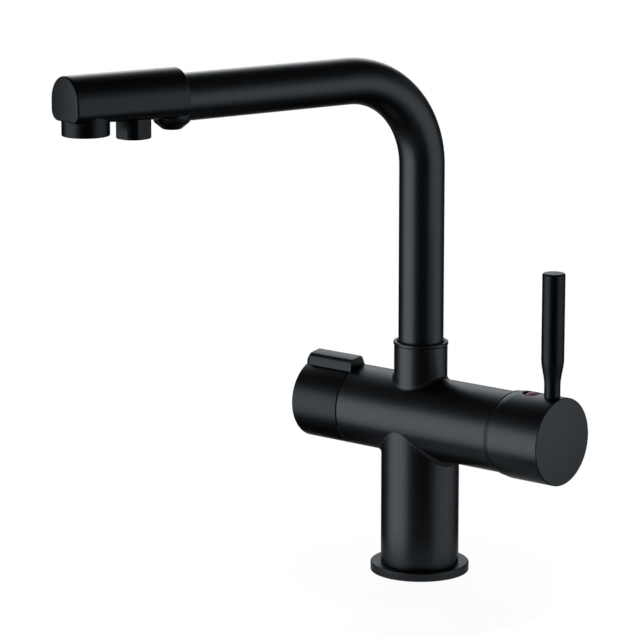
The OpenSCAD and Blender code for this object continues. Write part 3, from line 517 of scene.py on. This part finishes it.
FINISHES["rubber"] = black_rubber()
FINISHES["ceramic"] = lapped_ceramic()
FINISHES["white_plastic"] = moulded_plastic()
FINISHES["red_plastic"] = indicator_plastic("red_plastic", (0.16, 0.009, 0.013), (0.24, 0.015, 0.019))
FINISHES["blue_plastic"] = indicator_plastic("blue_plastic", (0.010, 0.035, 0.16), (0.015, 0.060, 0.26))
print(len(FINISHES), "finishes")

# %% [markdown]
# ## Finishing the CAD pieces
# The record names a finish for every piece of the tap, so the solids can be dressed in one loop. Only the
# two outlets are set one by one, in the darkest copy of the coat, whose deeper tone is painted shade.

# %% Finish the CAD pieces
for subpart in record["subparts"]:
    mesh = nodes[subpart["node"]].data
    mesh.materials.clear()
    mesh.materials.append(FINISHES[subpart["material_slot"]])
# The outlets under the head take the darkest copy of the coat, which paints shade on them.
for node in ("aerator_housing", "filter_outlet_nozzle"):
    nodes[node].data.materials[0] = DARKEST_SHADED_COAT
print(len(record["subparts"]), "pieces finished")

# %% [markdown]
# ## Standing in for a CAD piece
# Most of the solids are right as they are. A few outside pieces deserve softer edges and flowing curves,
# which a drawing in straight sections can't give, so each of those gets a finer mesh that stands in its
# solid's place. Turned tools join a piece or are cut out of it with exact Booleans, as on a real lathe
# and mill, and every stand-in takes the body of the solid that it replaces, and either its finish or a
# darker copy of the coat that paints shade on it.

# %% Carving
UP = Vector((0, 0, 1))
X_AXIS = Vector((1, 0, 0))
CARVE_SCALE = 1000
CARVE_WELD = 0.002
OVERLAP = 0.001


def frame_at(origin, axis, side):
    """A matrix at a point, with its Z along an axis and its X to one side."""
    return Matrix.Translation(origin) @ Matrix((side, axis.cross(side), axis)).transposed().to_4x4()


def rod(radius, low, high):
    """The outline of a plain rod."""
    return [(0, low), (radius, low), (radius, high), (0, high)]


def turned(outline, place, sides=SIDES):
    """A tool turned from an outline round a matrix's Z axis."""
    return new_piece("tool", lambda build: skin(build, turned_rows(outline, place, sides)))


def carve(piece, operation, tool):
    """Joins a tool to a piece, or cuts it out, at a thousand times the size, and takes the tool away."""
    for mesh in (piece.data, tool.data):
        mesh.transform(Matrix.Scale(CARVE_SCALE, 4))
    step = piece.modifiers.new("carve", "BOOLEAN")
    step.operation = operation
    step.solver = "EXACT"
    step.object = tool
    seen = piece.evaluated_get(bpy.context.evaluated_depsgraph_get())
    carved = bpy.data.meshes.new_from_object(seen)
    piece.modifiers.clear()
    build = bmesh.new()
    build.from_mesh(carved)
    bmesh.ops.dissolve_degenerate(build, edges=build.edges, dist=CARVE_WELD)
    bmesh.ops.remove_doubles(build, verts=build.verts, dist=CARVE_WELD)
    build.to_mesh(carved)
    build.free()
    carved.transform(Matrix.Scale(1 / CARVE_SCALE, 4))
    piece.data = carved
    bpy.data.objects.remove(tool)


def join(piece, outline, place):
    """Joins a turned tool to a piece."""
    carve(piece, "UNION", turned(outline, place))


def bore(piece, outline, place, sides=SIDES):
    """Cuts a turned tool out of a piece."""
    carve(piece, "DIFFERENCE", turned(outline, place, sides))


print("carving at", CARVE_SCALE, "times the size")

# %% Standing in
def stand_in(piece, node, coat=None):
    """Puts a piece in a CAD node's place, on its body and with its finish, or with a darker copy of the
    coat that paints shade.
    """
    body = next(name for name, held in record["behaviour"]["bodies"].items() if node in held)
    finish = next(part["material_slot"] for part in record["subparts"] if part["node"] == node)
    piece.data.shade_smooth()
    piece.data.set_sharp_from_angle(angle=SHARP_ANGLE)
    piece.data.materials.clear()
    piece.data.materials.append(coat or FINISHES[finish])
    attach(piece, body)
    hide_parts(node)
    print(node, "now has", len(piece.data.polygons), "faces on", body)


# %% [markdown]
# ## The spout head
# The head is a casting, round like a fat tube, a little flatter and higher towards its nose, with a round
# collar that the aerator screws up to and a boss below its rear that holds the lock screw. It could be
# modelled face by face, but a caster thinks in sections: here one rounded section is swept along the arm
# with its size changing on the way, and the collar, the boss and the bores are joined and cut.

# %% Head sections
SPOUT_SWIVEL = radians(-15)
ARM_Z = 0.2787
ARM = away(SPOUT_SWIVEL, 0)
ARM_SIDE = UP.cross(ARM)
HEAD_REAR = 0.1581
HEAD_FRONT = 0.2261
HEAD_ROUND = 0.0012
ROUND_STEP = 15
HEAD_STEPS = 24
REAR_SIZES = dict(half=0.0135, rise=0.0025, drop=0.0098, belly=0.0080)
FRONT_SIZES = dict(half=0.0132, rise=0.0032, drop=0.0072, belly=0.0055)


def head_section(s, inset):
    """Points of the head's section at a distance along the arm, drawn in by an inset."""
    share = (s - HEAD_REAR) / (HEAD_FRONT - HEAD_REAR)
    half, rise, drop, belly = [
        REAR_SIZES[k] + share * (FRONT_SIZES[k] - REAR_SIZES[k]) for k in REAR_SIZES
    ]
    outline = arc((0, rise), half - inset, 0, 180, 48)
    outline += arc((belly - half, belly - drop), belly - inset, 180, 270, 20)
    outline += arc((half - belly, belly - drop), belly - inset, 270, 360, 20)
    return [s * ARM + u * ARM_SIDE + (ARM_Z + w) * UP for u, w in outline]


def head_loft(build):
    turns = [radians(angle) for angle in range(0, 91, ROUND_STEP)]
    rear = [(HEAD_REAR + HEAD_ROUND * (1 - cos(a)), HEAD_ROUND * (1 - sin(a))) for a in turns]
    length = HEAD_FRONT - HEAD_REAR
    middle = [(HEAD_REAR + length * k / HEAD_STEPS, 0) for k in range(1, HEAD_STEPS)]
    front = [(HEAD_REAR + HEAD_FRONT - s, inset) for s, inset in reversed(rear)]
    rings = skin(build, [head_section(s, inset) for s, inset in rear + middle + front])
    build.faces.new(rings[0])
    build.faces.new(rings[-1])


head = new_piece("spout_head_casting", head_loft)
print("head loft", len(head.data.polygons), "faces")

# %% Head collar and boss
BOSS_AT = 0.1616
BOSS_LOW = -0.0160
BOSS_HIGH = -0.0030
BOSS_R = 0.0104
BOSS_FOOT_R = 0.0043
BOSS_EDGE = 0.0015
BOSS_WAIST = 0.0091
BOSS_WAIST_AT = -0.0078
AERATOR_AT = 0.2135
AERATOR_SEAT = -0.00391
AERATOR_COLLAR_R = 0.0124
AERATOR_COLLAR_TOP = 0.003
NOZZLE_AT = 0.1849
NOZZLE_SEAT = -0.00747
NOZZLE_COLLAR_R = 0.0091


def below_arm(s):
    """A frame on the arm's axis at a distance along it, with its Z up."""
    return frame_at(s * ARM + ARM_Z * UP, UP, X_AXIS)


boss = [
    (0, BOSS_LOW),
    *arc((BOSS_FOOT_R, BOSS_LOW + BOSS_EDGE), BOSS_EDGE, -90, -48, 4),
    *arc((BOSS_R - BOSS_WAIST, BOSS_WAIST_AT), BOSS_WAIST, -32, 0, 10),
    (BOSS_R, BOSS_HIGH),
    (0, BOSS_HIGH),
]
join(head, boss, below_arm(BOSS_AT))
join(head, rod(AERATOR_COLLAR_R, AERATOR_SEAT - OVERLAP, AERATOR_COLLAR_TOP), below_arm(AERATOR_AT))
join(head, rod(NOZZLE_COLLAR_R, NOZZLE_SEAT - OVERLAP, 0), below_arm(NOZZLE_AT))
print("head with its boss and collars", len(head.data.polygons), "faces")

# %% Head bores
SOCKET_R = 0.01255
SOCKET_FROM = 0.140
SOCKET_TO = 0.1661
WELL_BELOW = -0.020
AERATOR_BORE_R = 0.01245
AERATOR_INSERT_R = 0.01085
AERATOR_INSERT_RISE = 0.007
NOZZLE_BORE_R = 0.00915
NOZZLE_INSERT_R = 0.00715
NOZZLE_INSERT_RISE = 0.004
LOCK_SCREW_R = 0.0020
LOCK_SCREW_TOP = -0.010

along_arm = frame_at(ARM_Z * UP, ARM, UP)
aerator_insert = rod(AERATOR_INSERT_R, AERATOR_SEAT - 2 * OVERLAP, AERATOR_SEAT + AERATOR_INSERT_RISE)
nozzle_insert = rod(NOZZLE_INSERT_R, NOZZLE_SEAT - 2 * OVERLAP, NOZZLE_SEAT + NOZZLE_INSERT_RISE)
bore(head, rod(SOCKET_R, SOCKET_FROM, SOCKET_TO), along_arm)
bore(head, rod(AERATOR_BORE_R, WELL_BELOW, AERATOR_SEAT), below_arm(AERATOR_AT))
bore(head, aerator_insert, below_arm(AERATOR_AT))
bore(head, rod(NOZZLE_BORE_R, WELL_BELOW, NOZZLE_SEAT), below_arm(NOZZLE_AT))
bore(head, nozzle_insert, below_arm(NOZZLE_AT))
bore(head, rod(LOCK_SCREW_R, WELL_BELOW, LOCK_SCREW_TOP), below_arm(BOSS_AT))
print("head bored to", len(head.data.polygons), "faces")

# %% Head waterways
CHAMBER_R = 0.0075
CHAMBER_RISE = 0.0025
TUBE_END = 0.1646
PILLAR_R = 0.0084
PILLAR_LOW = -0.0125
PILLAR_TOP = 0.0045
FILTER_TUBE_R = 0.00325
FILTER_BORE_R = 0.0021

chamber_place = frame_at((ARM_Z + CHAMBER_RISE) * UP, ARM, UP)
chamber = turned(rod(CHAMBER_R, TUBE_END, AERATOR_AT), chamber_place)
bore(chamber, rod(PILLAR_R, PILLAR_LOW, PILLAR_TOP), below_arm(NOZZLE_AT))
carve(head, "DIFFERENCE", chamber)
bore(head, rod(CHAMBER_R, AERATOR_SEAT, 0), below_arm(AERATOR_AT))
bore(head, rod(FILTER_TUBE_R, TUBE_END - OVERLAP, NOZZLE_AT), along_arm)
bore(head, rod(FILTER_BORE_R, NOZZLE_SEAT, 0), below_arm(NOZZLE_AT))
# The head takes the darker copy of the coat, which paints shade on it.
stand_in(head, "spout_head", SHADED_COAT)

# %% [markdown]
# ## The slide ring
# The spout turns on a thin ring between the tube and the neck. Its rim stands out a little, with a dark
# groove under it, and its top is dished towards the tube. It is a closed outline on a lathe.

# %% Slide ring
NECK_TOP = 0.1282
RING_BORE_R = 0.01165
RING_FOOT_R = 0.0144
RING_DISH_R = 0.0129
RING_FLOOR = 0.0009
RING_OUTLINE = [
    (RING_BORE_R, 0),
    (RING_FOOT_R, 0),
    (RING_FOOT_R, 0.0004),
    (0.0148, 0.0006),
    *arc((0.0148, 0.0010), 0.0004, -90, 0, 4),
    *arc((0.0147, 0.0020), 0.0005, 0, 90, 5),
    (0.0141, 0.0025),
    (0.0132, 0.0021),
    (RING_DISH_R, 0.0018),
    (RING_DISH_R, RING_FLOOR),
    (RING_BORE_R, RING_FLOOR),
    (RING_BORE_R, 0),
]

ring_place = frame_at(NECK_TOP * UP, UP, X_AXIS)
ring = new_piece("spout_slide_ring", lambda build: skin(build, turned_rows(RING_OUTLINE, ring_place)))
stand_in(ring, "slide_ring")

# %% [markdown]
# ## The mixer's lever
# The lever is a slim pin that grows from a narrow foot to its full width in one soft S-curve. Straight
# cones would leave two hard lines in the reflections, so the outline follows a smooth step instead.

# %% Lever
BARREL_Z = 0.0882
LEVER_X = 0.0898
LEVER_SEAT = 0.0234
LEVER_TOP = 0.0916
LEVER_FOOT_R = 0.0044
LEVER_FOOT_EDGE = 0.0002
LEVER_R = 0.0062
LEVER_TOP_EDGE = 0.0010
PEG_R = 0.00295
PEG_DEPTH = 0.012
TAPER_FROM = 0.0305
TAPER_TO = 0.0450
TAPER_STEPS = 24


def smooth_step(x):
    """0 before 0, 1 after 1, and an S-curve between."""
    x = min(max(x, 0), 1)
    return x * x * (3 - 2 * x)


def taper_point(share):
    """A point of the lever's outline at a share of the way up its taper."""
    radius = LEVER_FOOT_R + (LEVER_R - LEVER_FOOT_R) * smooth_step(share)
    return radius, TAPER_FROM + (TAPER_TO - TAPER_FROM) * share


def above_barrel(x):
    """A frame on the barrel's axis at a place along it, with its Z up."""
    return frame_at(Vector((x, 0, BARREL_Z)), UP, X_AXIS)


lever_outline = [
    (0, LEVER_SEAT - PEG_DEPTH),
    (PEG_R, LEVER_SEAT - PEG_DEPTH),
    (PEG_R, LEVER_SEAT),
    (LEVER_FOOT_R - LEVER_FOOT_EDGE, LEVER_SEAT),
    (LEVER_FOOT_R, LEVER_SEAT + LEVER_FOOT_EDGE),
    *[taper_point(k / TAPER_STEPS) for k in range(TAPER_STEPS + 1)],
    *arc((LEVER_R - LEVER_TOP_EDGE, LEVER_TOP - LEVER_TOP_EDGE), LEVER_TOP_EDGE, 0, 90),
    (0, LEVER_TOP),
]
lever_rows = turned_rows(lever_outline, above_barrel(LEVER_X))
lever = new_piece("mixer_pin_lever", lambda build: skin(build, lever_rows))
# The lever takes the darkest copy of the coat, which paints shade on it.
stand_in(lever, "mixer_lever", DARKEST_SHADED_COAT)

# %% [markdown]
# ## The filter knob
# The knob is a cup over the end of the barrel with one raised rib to grip. The rib's top is flat, and its
# sides swell outwards on the way down, so they are dark under the top edge and lighter along the foot.
# The cup is turned, the rib is one section drawn along it, and the inside is cut as on a mill: a ring
# that leaves the hub, and a square for the spindle.

# %% Knob cup and rib
KNOB_R = 0.0225
KNOB_FACE = 0.0423
KNOB_FACE_EDGE = 0.0012
KNOB_END = 0.0750
KNOB_END_EDGE = 0.0010
KNOB_TURN = radians(9)
RIB_TOP = 0.0277
RIB_FOOT = (0.0068, 0.0150)
RIB_SIDE = [(0.00675, 0.0200), (0.00655, 0.0213), (0.00525, 0.0260), (0.00505, 0.02635), (0.00405, 0.0275)]
RIB_SHOULDER = (0.0039, 0.00006)
RIB_HALF_TOP = 0.0037
RIB_BEVEL = 0.0024
RIB_END_GAP = 0.0004
to_filter = frame_at(BARREL_Z * UP, -X_AXIS, Vector((0, -sin(KNOB_TURN), cos(KNOB_TURN))))

cup_outline = [
    (0, KNOB_FACE),
    *arc((KNOB_R - KNOB_FACE_EDGE, KNOB_FACE + KNOB_FACE_EDGE), KNOB_FACE_EDGE, -90, 0),
    *arc((KNOB_R - KNOB_END_EDGE, KNOB_END - KNOB_END_EDGE), KNOB_END_EDGE, 0, 90),
    (0, KNOB_END),
]


def rib_section(at, top):
    """The rib's section: across, and out from the knob's axis."""
    drop = RIB_TOP - top
    side = [RIB_FOOT, *[(u, v - drop) for u, v in RIB_SIDE]]
    side += [(RIB_SHOULDER[0], top - RIB_SHOULDER[1]), (RIB_HALF_TOP, top)]
    outline = side + [(-u, v) for u, v in reversed(side)]
    return [to_filter @ Vector((v, u, at)) for u, v in outline]


def rib_loft(build):
    last = KNOB_END - RIB_END_GAP
    places = [(KNOB_FACE, RIB_TOP), (KNOB_END - RIB_BEVEL, RIB_TOP), (last, RIB_TOP - RIB_BEVEL)]
    rings = skin(build, [rib_section(at, top) for at, top in places])
    build.faces.new(rings[0])
    build.faces.new(rings[-1])


knob = turned(cup_outline, to_filter)
knob.name = "filter_knob_cup"
carve(knob, "UNION", new_piece("tool", rib_loft))
print("knob", len(knob.data.polygons), "faces")

# %% Knob inside
KNOB_OPEN = 0.04
KNOB_CAVITY_R = 0.0195
KNOB_HUB_R = 0.0090
KNOB_HUB_AT = 0.0535
KNOB_FLOOR = 0.0700
SPINDLE_SQUARE = 0.0061
SPINDLE_END = 0.06905
KNOB_SCREW_R = 0.0020
KNOB_SCREW_TOP = 0.0240


def square_bar(side, low, high):
    """The outline of a square bar, for a lathe of four sides."""
    return rod(side / sqrt(2), low, high)


def turned_by(place, angle):
    """A frame turned round its own Z axis."""
    return place @ Matrix.Rotation(angle, 4, "Z")


hollow = [
    (0, KNOB_OPEN),
    (KNOB_CAVITY_R, KNOB_OPEN),
    (KNOB_CAVITY_R, KNOB_FLOOR),
    (KNOB_HUB_R, KNOB_FLOOR),
    (KNOB_HUB_R, KNOB_HUB_AT),
    (0, KNOB_HUB_AT),
]
spindle_hole = square_bar(SPINDLE_SQUARE, KNOB_HUB_AT - OVERLAP, SPINDLE_END)
screw_at = to_filter @ Matrix.Translation((0, 0, (KNOB_HUB_AT + SPINDLE_END) / 2))
screw_down = screw_at @ Matrix.Rotation(-pi / 2, 4, "Y")
bore(knob, hollow, to_filter)
bore(knob, spindle_hole, turned_by(to_filter, pi / 4), 4)
bore(knob, rod(KNOB_SCREW_R, 0, KNOB_SCREW_TOP), screw_down)
# The knob takes the darker copy of the coat, which paints shade on it.
stand_in(knob, "filter_knob", SHADED_COAT)

# %% [markdown]
# ## The mixer's cap
# The cap is a little fatter than the barrel and reaches over its end. Its rim is saddle-shaped, so that
# it can tilt without opening a gap, a fine dark groove follows the rim, and a long soft chamfer leads
# from it up to the full width. A lathe can't turn a saddle, so the rows of the skin take their place
# along the barrel from the height round the rim. The inside follows the stem's hub, and the lever, the
# screw and the indicator get their seats.

# %% Cap skin
CAP_R = 0.0241
CAP_END = 0.0970
CAP_EDGE = 0.0006
RIM_AT = 0.0610
RIM_R = 0.0234
RIM_INNER_R = 0.0215
RIM_EDGE = 0.0004
RIM_SADDLE = dict(base=RIM_AT, above=0.0026, below=0.0045, power=2.2)
CHAMFER_SADDLE = dict(base=0.0037, above=0.0023, below=0.0013, power=2)
CHAMFER_ROUND = [(0.00006, -0.0003), (0, 0.0006)]
GROOVE = [(0.02335, 0.0008), (0.02310, 0.00095), (0.02310, 0.0015), (0.02340, 0.00165)]
to_mixer = frame_at(BARREL_Z * UP, X_AXIS, UP)


def saddle(turn, base, above, below, power):
    """A place along the barrel that moves outwards towards the top and the bottom."""
    rise = cos(turn)
    return base + (above if rise > 0 else below) * abs(rise) ** power


def rim_place(turn):
    return saddle(turn, **RIM_SADDLE)


def chamfer_place(turn):
    return rim_place(turn) + saddle(turn, **CHAMFER_SADDLE)


def end_place(turn):
    return 0


def cap_row(radius, place, along=0):
    """A row of the cap's skin, at a distance along the barrel from a place that depends on the turn."""
    turns = [2 * pi * i / SIDES for i in range(SIDES)]
    return [to_mixer @ Vector((radius * cos(t), radius * sin(t), place(t) + along)) for t in turns]


def cap_loft(build):
    rim_round = arc((RIM_R - RIM_EDGE, RIM_EDGE), RIM_EDGE, -90, 0)
    end_round = arc((CAP_R - CAP_EDGE, CAP_END - CAP_EDGE), CAP_EDGE, 0, 90)
    rows = [[to_mixer @ Vector((0, 0, RIM_AT))], cap_row(RIM_INNER_R, rim_place)]
    rows += [cap_row(radius, rim_place, along) for radius, along in rim_round + GROOVE]
    rows += [cap_row(CAP_R - inset, chamfer_place, along) for inset, along in CHAMFER_ROUND]
    rows += [cap_row(radius, end_place, along) for radius, along in end_round]
    rows.append([to_mixer @ Vector((0, 0, CAP_END))])
    skin(build, rows)


cap = new_piece("mixer_lever_cap", cap_loft)
print("cap skin", len(cap.data.polygons), "faces")

# %% Cap inside
CAP_OPEN = 0.04
CAP_BORE_R = 0.02285
CAP_HUB_AT = 0.0710
CAP_HUB_R = 0.0100
CAP_CAVITY_R = 0.0209
CAP_FLOOR = 0.0830
STEM_SOCKET = 0.0081
STEM_END = 0.0840
WEB_W = 0.0122
WEB_END = 0.1
TOOL_RISE = 0.03


def block(low, high):
    """A square-cornered tool between two corners."""
    low, high = Vector(low), Vector(high)
    place = Matrix.Translation((low + high) / 2) @ Matrix.Diagonal((*(high - low), 1))
    return new_piece("tool", lambda build: bmesh.ops.create_cube(build, size=1, matrix=place))


pocket = [
    (CAP_HUB_R, CAP_HUB_AT - OVERLAP),
    (CAP_CAVITY_R, CAP_HUB_AT - OVERLAP),
    (CAP_CAVITY_R, CAP_FLOOR),
    (CAP_HUB_R, CAP_FLOOR),
    (CAP_HUB_R, CAP_HUB_AT - OVERLAP),
]
pocket_tool = turned(pocket, to_mixer)
web = block((CAP_HUB_AT, -WEB_W / 2, BARREL_Z), (WEB_END, WEB_W / 2, BARREL_Z + TOOL_RISE))
carve(pocket_tool, "DIFFERENCE", web)
bore(cap, rod(CAP_BORE_R, CAP_OPEN, CAP_HUB_AT), to_mixer)
carve(cap, "DIFFERENCE", pocket_tool)
stem_hole = square_bar(STEM_SOCKET, CAP_HUB_AT - OVERLAP, STEM_END)
bore(cap, stem_hole, turned_by(to_mixer, pi / 4), 4)
print("cap hollowed to", len(cap.data.polygons), "faces")

# %% Cap seats
PEG_HOLE_R = 0.0030
PEG_HOLE_DEPTH = 0.01205
PEG_HOLE_TOP = 0.0240
FOOT_HOLE_R = 0.00445
FOOT_HOLE_TOP = 0.0260
HANDLE_SCREW_R = 0.0025
HANDLE_SCREW_TOP = 0.0230
INDICATOR_X = 0.0765
INDICATOR_LOW = 0.0191
DISH_R = 0.00345
DISH_FROM = 0.0224
DISH_TOP_R = 0.0060
DISH_TOP = 0.0245

dish = [
    (0, INDICATOR_LOW),
    (DISH_R, INDICATOR_LOW),
    (DISH_R, DISH_FROM),
    (DISH_TOP_R, DISH_TOP),
    (0, DISH_TOP),
]
bore(cap, rod(PEG_HOLE_R, LEVER_SEAT - PEG_HOLE_DEPTH, PEG_HOLE_TOP), above_barrel(LEVER_X))
bore(cap, rod(FOOT_HOLE_R, LEVER_SEAT, FOOT_HOLE_TOP), above_barrel(LEVER_X))
bore(cap, rod(HANDLE_SCREW_R, 0, HANDLE_SCREW_TOP), above_barrel(INDICATOR_X))
bore(cap, dish, above_barrel(INDICATOR_X))
stand_in(cap, "mixer_cap")

# %% [markdown]
# ## The indicator
# A small coloured dome in the cap shows which way is hot: its half towards the user is red, the other one
# blue. Two mouldings meet in the middle, so one dome is turned twice and halved with a square tool. The
# dome is turned by half a side first, so that the cut runs between its points.

# %% Indicator halves
INDICATOR_R = 0.0034
DOME_R = 0.0060
DOME_TOP = 0.0245
HALVING_REACH = 0.01

dome_edge = degrees(asin(INDICATOR_R / DOME_R))
dome = arc((0, DOME_TOP - DOME_R), DOME_R, 90 - dome_edge, 90)
dome_outline = [(0, INDICATOR_LOW), (INDICATOR_R, INDICATOR_LOW), *dome[:-1], (0, DOME_TOP)]
dome_place = turned_by(above_barrel(INDICATOR_X), pi / SIDES)


def indicator_half(name, side):
    """The half of the dome on one side of the barrel: -1 is the user's side."""
    half = turned(dome_outline, dome_place)
    near, far = sorted([0, -side * HALVING_REACH])
    low = (INDICATOR_X - HALVING_REACH, near, BARREL_Z)
    high = (INDICATOR_X + HALVING_REACH, far, BARREL_Z + TOOL_RISE)
    carve(half, "DIFFERENCE", block(low, high))
    half.name = name
    return half


stand_in(indicator_half("indicator_hot_half", -1), "indicator_red")
stand_in(indicator_half("indicator_cold_half", 1), "indicator_blue")
